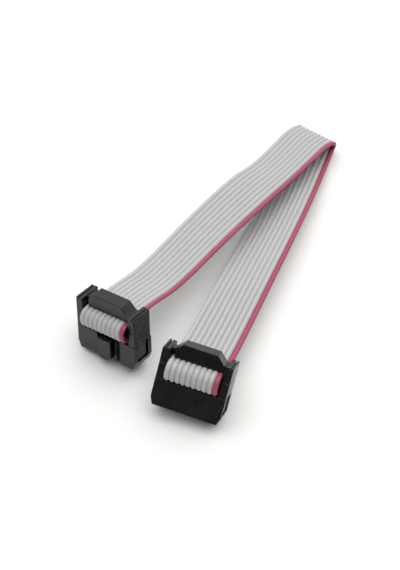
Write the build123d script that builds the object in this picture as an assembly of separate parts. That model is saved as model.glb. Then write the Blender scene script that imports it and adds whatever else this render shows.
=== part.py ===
from build123d import *
import math
import os

# Ribbon
core_pitch = 1.27
cores = 10
ribbon_thickness = 0.9
web_thickness = 0.4
crest_width = 0.72

# Socket, in its own frame: length along X, front to rear along Y, up from the mating face along Z
columns = 5
pin_width = 0.64
socket_depth = 6.0
body_height = 6.6
body_step = 0.3
corner_inset = 0.7
corner_height = 1.9
window_margin = 0.35
end_wall = 1.9
fit_gap = 0.05

# Key in a recess on one long side of the body
key_width = 3.8
key_proud = 1.0
key_bottom = 0.2
key_bevel = 0.9
key_drop = 0.7
recess_short = 2.6
recess_long = 4.1
recess_wall = 0.16
rib_place = 2.36
rib_width = 0.43
rib_sink = 0.2

# Latch at each end
latch_width = 3.2
latch_thickness = 0.8
latch_gap = 0.4
latch_sink = 0.3
latch_bottom = 2.2
latch_bevel = 0.4

# Cover and strain relief
crimp_margin = 0.53
loop_radius = 2.5
column_drop = 1.0
ear_rise = 2.0
ear_groove = 0.25
ear_groove_depth = 0.5
ear_plate = 0.6
bar_lead = 0.35
bar_clearance = 1.6
bar_rise = 3.7
bar_top_half = 4.15
bar_gap = 1.1
slope_gap = 0.65
roof_rise = 1.75
roof_thickness = 0.5
roof_depth = 2.5
bridge_depth = 1.5

# Stamped contacts, heights measured down or up from the top of the body
contact_thickness = 0.3
contact_foot = 1.2
bridge_drop = 2.2
chamber_drop = 2.0
shoulder_drop = 1.6
waist_drop = 1.2
root_drop = 0.4
notch_rise = 1.4
tip_rise = 1.7
fork_gap = 0.3
fork_tine = 0.19
pin_tine = 0.3
pin_squeeze = 0.04
lead_in_height = 0.6
lead_in_width = 1.6

# How each connector lies: place on the table, then turn, lean and tilt in degrees
left_place = (-22.0, -24.8)
left_pose = (-37.1, -10.0, -8.5)
right_place = (-3.8, -42.8)
right_pose = (-17.4, -31.3, 4.8)

# Route of each leg, as distance behind the socket and rise above the exit in the connector's frame
upper_route = [(5.5, 0), (14.8, -1.05), (35.8, 2.55), (73.6, 5.95), (80.5, 5.45)]
lower_route = [(6.5, 0), (32.0, 14.85), (77.2, 35.45)]
bend_share = 0.45
loop_sections = 5
fold_sections = 8
handle_share = 2 / 3

half_ribbon = ribbon_thickness / 2
half_web = web_thickness / 2
half_crest = crest_width / 2
ribbon_width = cores * core_pitch
core_offset = core_pitch / 2
pin_pitch = 2 * core_pitch
row_offset = pin_pitch / 2
window_half = ribbon_width / 2 + window_margin
half_socket = window_half + end_wall
chamber_half = pin_width / 2 + pin_tine + fit_gap
recess_depth = socket_depth / 2 - row_offset - chamber_half - recess_wall
chamber_top = body_height - chamber_drop
fork_tip = body_height + tip_rise
cover_front = socket_depth / 2 - row_offset - crimp_margin
crimp_level = body_height + half_ribbon
exit_level = crimp_level + 2 * loop_radius
cover_deck = exit_level - half_ribbon
relief_deck = exit_level + half_ribbon
column_top = cover_deck - column_drop
ear_top = relief_deck + ear_rise
bar_front = cover_front - bar_lead
bar_rear = socket_depth - bar_clearance


def core_edge(index):
    return (index - cores / 2) * core_pitch


def core_centre(index):
    return core_edge(index) + core_offset


def ridge_line(first, last):
    # Upper outline of a run of cores, from the web left of the first to the web right of the last
    line = [(core_edge(first), half_web)]
    for index in range(first, last):
        line.append((core_centre(index) - half_crest, half_ribbon))
        line.append((core_centre(index) + half_crest, half_ribbon))
        line.append((core_edge(index + 1), half_web))
    return line


def ribbon_outline(first, last, stretch=1.0):
    upper = [(x * stretch, y) for x, y in ridge_line(first, last)]
    lower = [(x, -y) for x, y in reversed(upper)]
    return Polyline(*upper, *lower, close=True)


def block(x0, x1, y0, y1, z0, z1):
    centre = ((x0 + x1) / 2, (y0 + y1) / 2, (z0 + z1) / 2)
    return Pos(*centre) * Box(x1 - x0, y1 - y0, z1 - z0)


def plate(points, y0, y1):
    # Outline in X and Z, extruded from front to rear
    face = Plane.XZ * make_face(Polyline(*points, close=True))
    return Pos(0, y0, 0) * extrude(face, -(y1 - y0))


def both_ends(piece):
    return piece + mirror(piece, Plane.YZ)


# Contact: one flat stamping, a fork for the pin below and a fork for the core above
def contact_outline():
    grip = (pin_width - pin_squeeze) / 2
    side = grip + pin_tine
    gap = fork_gap / 2
    arm = gap + fork_tine
    bridge = body_height - bridge_drop
    shoulder = body_height - shoulder_drop
    waist = body_height - waist_drop
    root = body_height - root_drop
    notch = body_height + notch_rise
    return [
        (-side, contact_foot), (-grip, contact_foot), (-grip, bridge), (grip, bridge),
        (grip, contact_foot), (side, contact_foot), (side, shoulder),
        (core_offset + arm, shoulder), (core_offset + arm, fork_tip),
        (core_offset + gap, notch), (core_offset + gap, root),
        (core_offset - gap, root), (core_offset - gap, notch),
        (core_offset - arm, fork_tip), (core_offset - arm, waist), (-side, waist),
    ]


def contact_places(key_side):
    # The row on the key side takes the red core, so its forks lean to +X
    places = []
    middle = socket_depth / 2
    for column in range(columns):
        x = (column - (columns - 1) / 2) * pin_pitch
        places.append((x, middle - row_offset, -key_side))
        places.append((x, middle + row_offset, key_side))
    return places


def stamped(x, y, lean):
    blade = plate(contact_outline(), -contact_thickness / 2, contact_thickness / 2)
    if lean < 0:
        blade = mirror(blade, Plane.YZ)
    return Pos(x, y, 0) * blade


def chamber(x, y, lean):
    slot = contact_thickness / 2 + fit_gap
    reach = core_offset + fork_gap / 2 + fork_tine + fit_gap
    mouth = Rectangle(lead_in_width, lead_in_width)
    width = 2 * chamber_half
    throat = Pos(0, 0, lead_in_height) * Rectangle(width, width)
    cut = loft([mouth.face(), throat.face()], ruled=True)
    cut += block(-chamber_half, chamber_half, -chamber_half, chamber_half, lead_in_height, chamber_top)
    cut += block(-chamber_half, reach, -slot, slot, chamber_top, body_height)
    if lean < 0:
        cut = mirror(cut, Plane.YZ)
    return Pos(x, y, 0) * cut


def socket_body(key_side):
    # key_side is -1 for a key on the front, 1 for a key on the rear
    foot = half_socket - corner_inset
    outline = [(-foot, 0), (foot, 0), (half_socket, corner_height), (half_socket, body_height),
               (-half_socket, body_height), (-half_socket, corner_height)]
    body = plate(outline, 0, socket_depth + body_step)
    face = 0 if key_side < 0 else socket_depth + body_step
    floor = face - key_side * recess_depth
    proud = face + key_side * key_proud
    # Seen facing the key, the recess reaches further on its right
    ends = sorted((recess_short * key_side, -recess_long * key_side))
    body -= block(*ends, min(face, floor), max(face, floor), 0, body_height)
    rib = sorted((-rib_place * key_side, -(rib_place + rib_width) * key_side))
    rib_face = face - key_side * rib_sink
    body += block(*rib, min(floor, rib_face), max(floor, rib_face), 0, body_height - key_drop)
    half_key = key_width / 2
    key_top = body_height - key_drop
    key = [(bevel_side * half_key, z) for bevel_side, z in ((-1, key_top), (-1, key_bottom + key_bevel))]
    key += [(bevel_side * (half_key - key_bevel), key_bottom) for bevel_side in (-1, 1)]
    key += [(half_key, key_bottom + key_bevel), (half_key, key_top)]
    body += plate(key, min(floor, proud), max(floor, proud))
    slot = latch_width / 2 + latch_gap
    middle = socket_depth / 2
    inner = half_socket - latch_sink - latch_thickness - fit_gap
    sill = latch_bottom - latch_gap
    body -= both_ends(block(inner, half_socket, middle - slot, middle + slot, sill, body_height))
    for place in contact_places(key_side):
        body -= chamber(*place)
    return body


def ribbon_cover(key_side):
    teeth = [(x, crimp_level + y + fit_gap) for x, y in ridge_line(0, cores)]
    underside = crimp_level + half_web + fit_gap
    middle = plate([(-window_half, underside), *teeth, (window_half, underside), (window_half, cover_deck),
                    (-window_half, cover_deck)], cover_front, socket_depth)
    end = block(window_half, half_socket, 0, socket_depth, body_height, column_top)
    outer = half_socket - latch_sink
    inner = outer - latch_thickness
    leg = [(inner, body_height), (inner, latch_bottom + latch_bevel), (inner + latch_bevel, latch_bottom),
           (outer, latch_bottom), (outer, body_height)]
    half_leg = latch_width / 2
    end += plate(leg, socket_depth / 2 - half_leg, socket_depth / 2 + half_leg)
    cover = middle + both_ends(end)
    slot = contact_thickness / 2 + fit_gap
    arm = fork_gap / 2 + fork_tine + fit_gap
    for x, y, lean in contact_places(key_side):
        centre = x + lean * core_offset
        cover -= block(centre - arm, centre + arm, y - slot, y + slot, body_height, fork_tip + fit_gap)
    return cover


def strain_relief():
    ear = block(window_half, half_socket, 0, socket_depth, column_top, ear_top)
    groove = half_socket - ear_plate
    ear -= block(groove - ear_groove, groove, 0, socket_depth, ear_top - ear_groove_depth, ear_top)
    # A tall bar over the ribbon, and beside each ear a lower roof and a bridge under it
    bar_half = window_half - bar_gap
    slope_foot = window_half - slope_gap
    bar_top = relief_deck + bar_rise
    roof_top = relief_deck + roof_rise
    roof_bottom = roof_top - roof_thickness
    bar_side = roof_top + (bar_top - roof_top) * (slope_foot - bar_half) / (slope_foot - bar_top_half)
    half = [(bar_half, relief_deck), (bar_half, bar_side), (bar_top_half, bar_top)]
    bar = plate(half + [(-x, z) for x, z in reversed(half)], bar_front, bar_rear)
    roof = plate([(bar_half, roof_bottom), (window_half, roof_bottom), (window_half, roof_top),
                  (slope_foot, roof_top), (bar_half, bar_side)], bar_rear - roof_depth, bar_rear)
    bridge = block(bar_half, window_half, bar_rear - bridge_depth, bar_rear, relief_deck, roof_bottom)
    return bar + both_ends(roof + bridge + ear)


# Ribbon legs: straight runs joined by tangent bends, all in the connector's own middle plane
def leg_corners(route):
    front = cover_front - loop_radius
    start = [(socket_depth, crimp_level), (front, crimp_level), (front, exit_level)]
    behind = [(socket_depth + back, exit_level + rise) for back, rise in route]
    return [Vector(0, y, z) for y, z in start + behind]


def bend_radii(corners):
    radii = [loop_radius, loop_radius]
    for before, here, after in zip(corners[2:], corners[3:], corners[4:]):
        turn = math.radians((here - before).get_angle(after - here))
        shorter = min((here - before).length, (after - here).length)
        radii.append(bend_share * shorter / math.tan(turn / 2))
    return radii


def section(first, last, at, along):
    plane = Plane(at, x_dir=(1, 0, 0), z_dir=along)
    return plane * make_face(ribbon_outline(first, last))


def leg_pieces(first, last, corners):
    pieces = []
    at = corners[0]
    for before, here, after, radius in zip(corners, corners[1:], corners[2:], bend_radii(corners)):
        into = (here - before).normalized()
        out = (after - here).normalized()
        turn = into.get_angle(out)
        reach = radius * math.tan(math.radians(turn) / 2)
        start = here - into * reach
        if (start - at).dot(into) > fit_gap:
            pieces.append(extrude(section(first, last, at, into), (start - at).length, into))
        axis = into.cross(out).normalized()
        centre = start + axis.cross(into) * radius
        bend = Axis(centre, axis)
        flat = section(first, last, start, into)
        if radius > loop_radius:
            pieces.append(revolve(flat, bend, turn))
        else:
            steps = [flat.rotate(bend, turn * step / loop_sections) for step in range(loop_sections + 1)]
            pieces.append(Solid.make_loft([step.wire() for step in steps], ruled=True))
        at = here + out * reach
    along = (corners[-1] - corners[-2]).normalized()
    pieces.append(extrude(section(first, last, at, along), (corners[-1] - at).length, along))
    return pieces


def bezier(a, b, c, d, t):
    s = 1 - t
    return a * s ** 3 + b * (3 * s * s * t) + c * (3 * s * t * t) + d * t ** 3


def fold_piece(first, last, upper_end, lower_end):
    # Each end is a plane: origin on the centre line, X to the red edge, Z towards the fold
    half = ribbon_width / 2
    edges = []
    for side in (-half, half):
        a = upper_end.origin + upper_end.x_dir * side
        d = lower_end.origin + lower_end.x_dir * side
        reach = (a - d).length * handle_share
        edges.append((a, a + upper_end.z_dir * reach, d + lower_end.z_dir * reach, d))
    wires = []
    for step in range(fold_sections + 1):
        t = step / fold_sections
        grey, red = [bezier(*edge, t) for edge in edges]
        across = red - grey
        weights = ((1 - t) ** 2, 2 * t * (1 - t), t * t)
        ahead = Vector(0, 0, 0)
        for edge in edges:
            for start, stop, weight in zip(edge, edge[1:], weights):
                ahead += (stop - start) * weight
        along = ahead - across * (ahead.dot(across) / across.dot(across))
        plane = Plane((grey + red) / 2, x_dir=across, z_dir=along)
        wires.append((plane * ribbon_outline(first, last, across.length / ribbon_width)).wire())
    return Solid.make_loft(wires, ruled=True)


def seat(place, pose, body):
    turn, lean, tilt = pose
    turned = Rot(0, 0, turn) * Rot(lean, 0, 0) * Rot(0, tilt, 0)
    lowest = (turned * body).bounding_box().min.Z
    return Pos(place[0], place[1], -lowest) * turned


def leg_end(seated, corners):
    along = (corners[-1] - corners[-2]).normalized()
    local = Location(Plane(corners[-1], x_dir=(1, 0, 0), z_dir=along))
    return Plane(seated * local)


nodes = {}
legs = {}
for name, place, pose, key_side, route in (
        ("left", left_place, left_pose, -1, upper_route),
        ("right", right_place, right_pose, 1, lower_route)):
    body = socket_body(key_side)
    seated = seat(place, pose, body)
    contacts = [stamped(*where) for where in contact_places(key_side)]
    nodes[name + "_socket_body"] = seated * body
    nodes[name + "_cover"] = seated * ribbon_cover(key_side)
    nodes[name + "_strain_relief"] = seated * strain_relief()
    for index, contact in enumerate(contacts):
        nodes[f"{name}_contact_{index + 1}"] = seated * contact
    corners = leg_corners(route)
    print(name, "bend radii", [round(radius, 1) for radius in bend_radii(corners)])
    legs[name] = (seated, corners, contacts)

# Grey cores and the red edge core follow the same legs and fold
ends = [leg_end(*legs[name][:2]) for name in ("left", "right")]
for name, first, last in (("grey_ribbon", 0, cores - 1), ("red_edge", cores - 1, cores)):
    pieces = [fold_piece(first, last, *ends)]
    for seated, corners, contacts in legs.values():
        crimp, *rest = leg_pieces(first, last, corners)
        for contact in contacts:
            crimp -= contact
        pieces += [seated * piece for piece in [crimp, *rest]]
    nodes[name] = pieces[0].fuse(*[piece.solid() for piece in pieces[1:]])

bounds = Compound(children=[Compound(solid.solids()) for solid in nodes.values()]).bounding_box()
shift = Pos(-(bounds.min.X + bounds.max.X) / 2, -(bounds.min.Y + bounds.max.Y) / 2, -bounds.min.Z)
os.makedirs("parts", exist_ok=True)
for name, solid in nodes.items():
    export_step(shift * solid, f"parts/{name}.step")
print("overall", bounds.size, "shift", shift.position)
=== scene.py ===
import bmesh
import bpy
import math
from mathutils import Matrix, Vector


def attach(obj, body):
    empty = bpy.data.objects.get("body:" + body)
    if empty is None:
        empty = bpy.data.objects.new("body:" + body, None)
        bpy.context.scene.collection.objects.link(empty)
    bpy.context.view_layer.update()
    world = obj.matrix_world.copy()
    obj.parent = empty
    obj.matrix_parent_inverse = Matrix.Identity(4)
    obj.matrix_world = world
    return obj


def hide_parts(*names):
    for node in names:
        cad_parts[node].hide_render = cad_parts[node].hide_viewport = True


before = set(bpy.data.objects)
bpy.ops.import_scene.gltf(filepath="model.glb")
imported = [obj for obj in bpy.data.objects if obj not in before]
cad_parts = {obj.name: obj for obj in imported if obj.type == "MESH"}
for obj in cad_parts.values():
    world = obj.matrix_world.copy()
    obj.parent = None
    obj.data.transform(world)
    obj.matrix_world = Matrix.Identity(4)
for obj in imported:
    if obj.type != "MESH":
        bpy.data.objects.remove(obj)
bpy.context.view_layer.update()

# The object's lengths are in millimetres, and MM makes them metres
MM = 0.001

# Ribbon, with the line where the grey and the red insulation meet
core_pitch = 1.27
cores = 10
ribbon_width = cores * core_pitch
edge = ribbon_width / 2
joint = edge - core_pitch

# One round core: half the web's thickness, then its upper side from the web to its top, across and up
web = 0.08
core_flank = [(-0.585, web), (-0.54, 0.15), (-0.46, 0.255), (-0.33, 0.365), (-0.15, 0.435)]
core_arc = core_flank + [(-x, z) for x, z in reversed(core_flank)]

# Where each connector lies, in the scene's frame: its front lower edge, then turn, lean and tilt in degrees
left_place = (-25.244, -27.877, 2.244)
left_pose = (-37.1, -10.0, -8.5)
right_place = (-7.044, -45.877, 3.838)
right_pose = (-17.4, -31.3, 4.8)

# Route of the ribbon in each connector's own plane, from the crimp outwards: distance back and height
crimp = [(6.0, 7.05), (2.4, 7.05)]
loop = [(0.75, 7.05), (-1.2, 7.8), (-1.85, 9.2), (-1.85, 10.6), (-0.9, 11.75)]
exit_run = [(1.2, 12.05), (3.7, 12.05)]

# Behind the loop, also how far the red edge dips while the grey edge lifts, and how far the ribbon lies aside
upper_route = [(11.5, 12.05, 0, 0), (20.8, 11.0, 0.1, 0), (41.8, 14.6, 0.5, 0), (60, 16.35, 0.85, 0),
               (68.5, 16.1, -0.1, 0), (76.5, 17.05, 0, 0), (85, 18.35, 0.35, 0)]
lower_route = [(12.5, 12.2, 0.45, 0), (36, 24.35, -1.2, 0.6), (60, 35.2, -3.8, 1.25),
               (83.2, 47.6, -0.6, 0.15)]

# Outside the crimp the cores spread a little, and the left loop is pulled tighter
core_spread = 1.025
left_draw, right_draw = 0.55, 0.0

# The fold's two turning points on the grey edge and on the red edge, in the scene's frame
fold_grey = [(22.9, 49.5, 3.4), (22.2, 52.1, 0.9)]
fold_red = [(32.2, 40.9, 5.2), (32.2, 43.3, 1.7)]

# How finely a route is read, in steps from one point to the next
route_steps = 8

# Wall between the strain relief's bar and its ear at the red edge, in the connector's frame: across, up, back
wall_bar, wall_ear = 5.6, 6.7
wall_foot, wall_top = 12.5, 14.25
wall_front, wall_rear = 0.85, 1.9

# Next to the bar the wall's top slopes up
slope_run, slope_rise = 0.45, 0.46
wall_outline = [(wall_bar, wall_foot), (wall_ear, wall_foot), (wall_ear, wall_top),
                (wall_bar + slope_run, wall_top), (wall_bar, wall_top + slope_rise)]

# Mouldings: corners this close are merged, and faces this nearly in one plane are joined
weld_gap = 0.002
flat_angle = math.radians(1)

# Their edges are then eased, where an edge is longer and sharper than this, by so much and in so many steps
shortest_eased = 1.2
sharp_angle = math.radians(20)
edge_easing = {"socket_body": 0.1, "cover": 0.15, "strain_relief": 0.15}
easing_steps = 2


# Shader maths

class Shade:
    """A shader socket: arithmetic on it adds Math nodes to its node tree."""

    def __init__(self, tree, socket=None):
        self.tree = tree
        self.socket = socket

    def node(self, kind, settings=None, sockets=None, output=0):
        made = self.tree.nodes.new(kind)
        for name, value in (settings or {}).items():
            if name == "stops":
                for element, (position, colour) in zip(made.color_ramp.elements, value):
                    element.position = position
                    element.color = colour
            else:
                setattr(made, name, value)
        for name, value in (sockets or {}).items():
            if isinstance(value, Shade):
                self.tree.links.new(value.socket, made.inputs[name])
            else:
                made.inputs[name].default_value = value
        return Shade(self.tree, made.outputs[output])

    def maths(self, operation, a, b=0.0):
        return self.node("ShaderNodeMath", {"operation": operation}, {0: a, 1: b})

    def __add__(self, other):
        return self.maths("ADD", self, other)

    def __radd__(self, other):
        return self.maths("ADD", other, self)

    def __sub__(self, other):
        return self.maths("SUBTRACT", self, other)

    def __rsub__(self, other):
        return self.maths("SUBTRACT", other, self)

    def __mul__(self, other):
        return self.maths("MULTIPLY", self, other)

    def __rmul__(self, other):
        return self.maths("MULTIPLY", other, self)

    def noise(self, at, scale, detail):
        return self.node("ShaderNodeTexNoise", sockets={"Vector": at, "Scale": scale, "Detail": detail})

    def mix(self, share, a, b):
        # A Mix node's colours are its inputs 6 and 7, and the mixed colour is its output 2
        return self.node("ShaderNodeMix", {"data_type": "RGBA"}, {0: share, 6: a, 7: b}, 2)


def blend(a, b, share):
    return a * share + b * (1 - share)


# Materials, with the scales of their patterns in cells to the metre

def material(name):
    # The material, its surface, the maker of its nodes and the place on the object that its patterns read
    made = bpy.data.materials.new(name)
    made.use_nodes = True
    shade = Shade(made.node_tree)
    place = shade.node("ShaderNodeTexCoord", output="Object")
    return made, made.node_tree.nodes["Principled BSDF"], shade, place


def dress(shade, surface, colour, roughness, height, depth):
    bump = shade.node("ShaderNodeBump", sockets={"Strength": 1.0, "Distance": depth * MM, "Height": height})
    for name, value in (("Base Color", colour), ("Roughness", roughness), ("Normal", bump)):
        shade.tree.links.new(value.socket, surface.inputs[name])


def insulation(name, pale, deep, painted_web_shade):
    # Extruded vinyl: streaks along the cores, soft blotches, a fine grain, and painted shade on the webs
    # between the cores
    streaks_along, streaks_across = 40.0, 2600.0
    blotch_scale, grain_scale = 160.0, 9000.0
    groove_sharpness = 5.0
    base_roughness, streak_roughness, grain_roughness = 0.3, 0.16, 0.1
    relief_depth = 0.02
    made, surface, shade, place = material(name)
    along = shade.node("ShaderNodeAttribute", {"attribute_name": "along"}, output="Fac")
    across = shade.node("ShaderNodeAttribute", {"attribute_name": "across"}, output="Fac")
    drawn = shade.node("ShaderNodeCombineXYZ",
                       sockets={"X": along * streaks_along, "Y": across * streaks_across})
    streaks = shade.noise(drawn, scale=1.0, detail=3.0)
    blotches = shade.noise(place, blotch_scale, detail=3.0)
    grain = shade.noise(place, grain_scale, detail=1.0)
    # Painted shade in the grooves: the colour darkens towards the thin web between two cores
    turn = shade.maths("FRACT", across * (1 / (core_pitch * MM)))
    web_shade_mask = shade.maths("POWER", shade.maths("ABSOLUTE", turn * 2.0 - 1.0), groove_sharpness)
    colour = shade.mix(web_shade_mask, shade.mix(blend(streaks, blotches, share=0.5), deep, pale), painted_web_shade)
    roughness = streaks * streak_roughness + grain * grain_roughness + base_roughness
    dress(shade, surface, colour, roughness, blend(streaks, grain, share=0.6), relief_depth)
    return made


def moulded_plastic(name, dark, worn):
    # Glass-filled plastic: mottled, with flow marks and a spark-eroded grain
    flow_scale, mottle_scale, grain_scale = 260.0, 1900.0, 11000.0
    base_roughness, mottle_roughness, flow_roughness = 0.08, 0.16, 0.26
    grain_depth = 0.012
    made, surface, shade, place = material(name)
    flow = shade.noise(place, flow_scale, detail=4.0)
    mottle = shade.noise(place, mottle_scale, detail=3.0)
    grain = shade.noise(place, grain_scale, detail=2.0)
    colour = shade.mix(blend(flow, mottle, share=0.5), dark, worn)
    roughness = mottle * mottle_roughness + flow * flow_roughness + base_roughness
    dress(shade, surface, colour, roughness, blend(grain, mottle, share=0.7), grain_depth)
    return made


def plated_metal(name, bright, stain):
    # Plated spring metal: stained in places and finely scuffed
    tarnish_scale, scuff_scale = 2400.0, 15000.0
    base_roughness, scuff_roughness = 0.2, 0.2
    scuff_depth = 0.004
    made, surface, shade, place = material(name)
    tarnish = shade.noise(place, tarnish_scale, detail=3.0)
    scuffs = shade.noise(place, scuff_scale, detail=2.0)
    surface.inputs["Metallic"].default_value = 1.0
    roughness = scuffs * scuff_roughness + base_roughness
    dress(shade, surface, shade.mix(tarnish, bright, stain), roughness, scuffs, scuff_depth)
    return made


def pale_floor(name, dull, bright):
    # Matt paint with faint wide clouds
    cloud_scale, cloud_depth = 6.0, 0.01
    base_roughness, cloud_roughness = 0.6, 0.1
    made, surface, shade, place = material(name)
    cloud = shade.noise(place, cloud_scale, detail=2.0)
    roughness = cloud * cloud_roughness + base_roughness
    dress(shade, surface, shade.mix(cloud, dull, bright), roughness, cloud, cloud_depth)
    return made


# Each vinyl's last colour is the painted shade put on the webs between its cores
grey_vinyl = insulation("grey_vinyl", pale=(0.515, 0.515, 0.52, 1), deep=(0.47, 0.47, 0.475, 1),
                        painted_web_shade=(0.35, 0.35, 0.355, 1))
red_vinyl = insulation("red_vinyl", pale=(0.43, 0.066, 0.12, 1), deep=(0.36, 0.052, 0.098, 1),
                       painted_web_shade=(0.16, 0.024, 0.046, 1))
dark_plastic = moulded_plastic("dark_plastic", dark=(0.002, 0.002, 0.0022, 1), worn=(0.008, 0.008, 0.0084, 1))
contact_plating = plated_metal("contact_plating", bright=(0.82, 0.66, 0.34, 1), stain=(0.66, 0.5, 0.26, 1))
floor_paint = pale_floor("floor_paint", dull=(0.925, 0.925, 0.905, 1), bright=(0.945, 0.945, 0.925, 1))


# Pieces

def piece(name, bm, finish, slot, *nodes):
    mesh = bpy.data.meshes.new(name)
    bm.to_mesh(mesh)
    bm.free()
    mesh.materials.append(finish)
    made = bpy.data.objects.new(name, mesh)
    bpy.context.scene.collection.objects.link(made)
    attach(made, "root")
    if nodes:
        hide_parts(*nodes)
    return made


def seat(place, pose):
    turn, lean, tilt = [math.radians(angle) for angle in pose]
    turned = Matrix.Rotation(turn, 4, "Z") @ Matrix.Rotation(lean, 4, "X") @ Matrix.Rotation(tilt, 4, "Y")
    return Matrix.Translation(Vector(place)) @ turned


def smooth_line(points):
    curve = bpy.data.curves.new("route", "CURVE")
    curve.dimensions = "3D"
    curve.resolution_u = route_steps
    spline = curve.splines.new("NURBS")
    spline.points.add(len(points) - 1)
    for knot, point in zip(spline.points, points):
        knot.co = (*point, 1)
    spline.order_u = 3
    spline.use_endpoint_u = True
    holder = bpy.data.objects.new("route", curve)
    mesh = bpy.data.meshes.new_from_object(holder)
    read = [vertex.co.copy() for vertex in mesh.vertices]
    bpy.data.objects.remove(holder)
    bpy.data.curves.remove(curve)
    bpy.data.meshes.remove(mesh)
    return read


def route_at(offset, fold):
    # The whole route of one line along the ribbon, from the left crimp to the right one
    share = 2 * offset / ribbon_width
    spread = offset * core_spread
    legs = []
    for place, pose, draw, route in ((left_place, left_pose, left_draw, upper_route),
                                     (right_place, right_pose, right_draw, lower_route)):
        seated = seat(place, pose)
        points = [(offset, y, z) for y, z in crimp]
        points += [(spread, y + draw, z) for y, z in loop + exit_run]
        points += [(spread + aside, y, z - dip * share) for y, z, dip, aside in route]
        legs.append([seated @ Vector(point) for point in points])
    left, right = legs
    return [point * MM for point in left + [Vector(point) for point in fold] + right[::-1]]


fold_middle = [(Vector(a) + Vector(b)) / 2 for a, b in zip(fold_grey, fold_red)]
centre_line = smooth_line(route_at(0, fold_middle))
grey_line = smooth_line(route_at(-edge, fold_grey))
red_line = smooth_line(route_at(edge, fold_red))


def ribbon_frames():
    # At each point of the centre line: across towards the red edge, ahead, and up out of the ribbon
    placed = []
    for index, here in enumerate(centre_line):
        ahead = centre_line[min(index + 1, len(centre_line) - 1)] - centre_line[max(index - 1, 0)]
        across = (red_line[index] - grey_line[index]) / (ribbon_width * MM)
        up = across.cross(ahead).normalized()
        turned = Matrix((across, up.cross(across).normalized(), up)).transposed().to_4x4()
        placed.append(Matrix.Translation(here) @ turned)
    return placed


def cores_section(first, last):
    # Half outline of a run of cores; the outermost cores have no web on their outer side
    outline = []
    for index in range(first, last):
        middle = (index + 0.5) * core_pitch - edge
        arc = core_arc[index == 0:len(core_arc) - (index == cores - 1)]
        outline += [(middle + x, z) for x, z in arc]
    return outline


def ribbon_cores(name, first, last, ends, finish, slot, node):
    # ends are the outer points of the outline at the first and the last core
    half = cores_section(first, last)
    outline = ends[0] + half + ends[1] + [(x, -z) for x, z in reversed(half)]
    bm = bmesh.new()
    along = bm.verts.layers.float.new("along")
    across = bm.verts.layers.float.new("across")
    bm.faces.new([bm.verts.new((x * MM, 0, z * MM)) for x, z in outline])
    for vertex in bm.verts:
        vertex[across] = vertex.co.x
    frames = ribbon_frames()
    bmesh.ops.transform(bm, matrix=frames[0], verts=bm.verts)
    rim = bm.edges[:]
    reach = 0.0
    for before, after in zip(frames, frames[1:]):
        grown = bmesh.ops.extrude_edge_only(bm, edges=rim)["geom"]
        rim = [part for part in grown if isinstance(part, bmesh.types.BMEdge) and part.is_boundary]
        fresh = [part for part in grown if isinstance(part, bmesh.types.BMVert)]
        bmesh.ops.transform(bm, matrix=after @ before.inverted(), verts=fresh)
        reach += (after.translation - before.translation).length
        for vertex in fresh:
            vertex[along] = reach
    bmesh.ops.contextual_create(bm, geom=rim)
    bmesh.ops.recalc_face_normals(bm, faces=bm.faces)
    for face in bm.faces:
        # The cut ends have many corners and stay flat
        face.smooth = len(face.verts) == 4
    return piece(name, bm, finish, slot, node)


grey_cores = ribbon_cores("grey_cores", 0, cores - 1, ([(-edge, 0)], [(joint, web), (joint, -web)]),
                          grey_vinyl, "grey_insulation", "grey_ribbon")
red_core = ribbon_cores("red_core", cores - 1, cores, ([(joint, -web), (joint, web)], [(edge, 0)]),
                        red_vinyl, "red_insulation", "red_edge")


def closing_wall(bm, seated):
    front = bm.faces.new([bm.verts.new((x, wall_front, z)) for x, z in wall_outline])
    wall = front.verts[:]
    grown = bmesh.ops.extrude_face_region(bm, geom=[front])["geom"]
    fresh = [part for part in grown if isinstance(part, bmesh.types.BMVert)]
    bmesh.ops.translate(bm, vec=(0, wall_rear - wall_front, 0), verts=fresh)
    bmesh.ops.transform(bm, matrix=Matrix.Scale(MM, 4) @ seated, verts=wall + fresh)
    walls = {face for vertex in wall + fresh for face in vertex.link_faces}
    bmesh.ops.recalc_face_normals(bm, faces=list(walls))


def long_sharp_edge(rim):
    if len(rim.link_faces) != 2 or not rim.is_convex:
        return False
    return rim.calc_face_angle() > sharp_angle and rim.calc_length() > shortest_eased * MM


def moulding(name, node, easing, wall_seat=None):
    # The moulded part with its outer edges eased
    bm = bmesh.new()
    bm.from_mesh(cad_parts[node].data)
    bmesh.ops.remove_doubles(bm, verts=bm.verts, dist=weld_gap * MM)
    bmesh.ops.dissolve_limit(bm, angle_limit=flat_angle, verts=bm.verts, edges=bm.edges)
    outer = [rim for rim in bm.edges if long_sharp_edge(rim)]
    eased = bmesh.ops.bevel(bm, geom=outer, offset=easing * MM, offset_type="OFFSET", segments=easing_steps,
                            profile=0.5, affect="EDGES", clamp_overlap=False, material=-1)
    for face in eased["faces"]:
        face.smooth = True
    if wall_seat:
        closing_wall(bm, wall_seat)
    return piece(name, bm, dark_plastic, "connector_plastic", node)


# Both connectors: their mouldings with eased edges, and their contacts in plated metal
for side, place, pose in (("left", left_place, left_pose), ("right", right_place, right_pose)):
    for part, easing in edge_easing.items():
        wall_seat = seat(place, pose) if part == "strain_relief" else None
        made = moulding(f"{side}_{part}_moulding", f"{side}_{part}", easing, wall_seat)
    for number in range(1, cores + 1):
        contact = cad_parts[f"{side}_contact_{number}"]
        contact.data.materials.clear()
        contact.data.materials.append(contact_plating)


# Floor, light and camera, with the room's lengths in metres

floor_reach, floor_cells = 3.0, 8
bm = bmesh.new()
bmesh.ops.create_grid(bm, x_segments=floor_cells, y_segments=floor_cells, size=floor_reach)
floor_mesh = bpy.data.meshes.new("floor")
bm.to_mesh(floor_mesh)
bm.free()
floor_mesh.materials.append(floor_paint)
floor = bpy.data.objects.new("floor", floor_mesh)
bpy.context.scene.collection.objects.link(floor)


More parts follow.
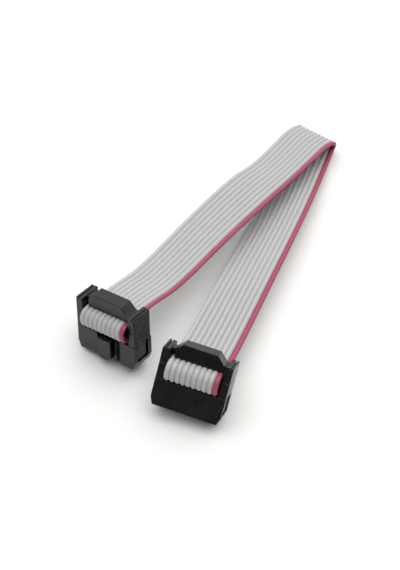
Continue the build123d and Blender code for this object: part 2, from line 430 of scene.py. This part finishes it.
def softbox(name, place, width, power):
    # A square lamp that faces the origin
    light = bpy.data.lights.new(name, "AREA")
    light.shape = "SQUARE"
    light.size = width
    light.energy = power
    lamp = bpy.data.objects.new(name, light)
    lamp.location = place
    lamp.rotation_euler = (Vector() - Vector(place)).to_track_quat("-Z", "Y").to_euler()
    bpy.context.scene.collection.objects.link(lamp)


softbox("window", place=(0.4, 0.2, 0.8), width=1.2, power=2.4)
softbox("ceiling", place=(0, -0.1, 1.1), width=1.5, power=4.3)

# A light tent: bright above and behind, dark towards the room in front
above_share, behind_share = 0.9, 0.4
room_stop = (0.15, (0.04, 0.04, 0.04, 1))
tent_stop = (0.8, (1, 1, 1, 1))
tent_strength = 1.16
world = bpy.data.worlds.new("studio")
world.use_nodes = True
tent = Shade(world.node_tree)
direction = tent.node("ShaderNodeTexCoord")
back = tent.node("ShaderNodeSeparateXYZ", sockets={"Vector": direction}, output="Y")
up = tent.node("ShaderNodeSeparateXYZ", sockets={"Vector": direction}, output="Z")
tent_light = tent.node("ShaderNodeValToRGB", {"stops": [room_stop, tent_stop]},
                       {"Fac": up * above_share + back * behind_share})
background = world.node_tree.nodes["Background"]
world.node_tree.links.new(tent_light.socket, background.inputs["Color"])
background.inputs["Strength"].default_value = tent_strength
bpy.context.scene.world = world
bpy.context.scene.view_settings.view_transform = "Standard"

# The camera looks down on the table from the front
target = Vector((-3.244, -3.077, 0)) * MM
elevation = math.radians(49.08)
distance = 474.7 * MM
lens_pixels, frame_height = 1929.9, 570
nearest_seen = 0.01
camera_data = bpy.data.cameras.new("camera")
camera_data.sensor_fit = "VERTICAL"
camera_data.sensor_height = 36.0
camera_data.lens = lens_pixels / frame_height * camera_data.sensor_height
camera_data.clip_start = nearest_seen
camera = bpy.data.objects.new("camera", camera_data)
camera.location = target + distance * Vector((0, -math.cos(elevation), math.sin(elevation)))
camera.rotation_euler = (math.pi / 2 - elevation, 0, 0)
bpy.context.scene.collection.objects.link(camera)
bpy.context.scene.camera = camera
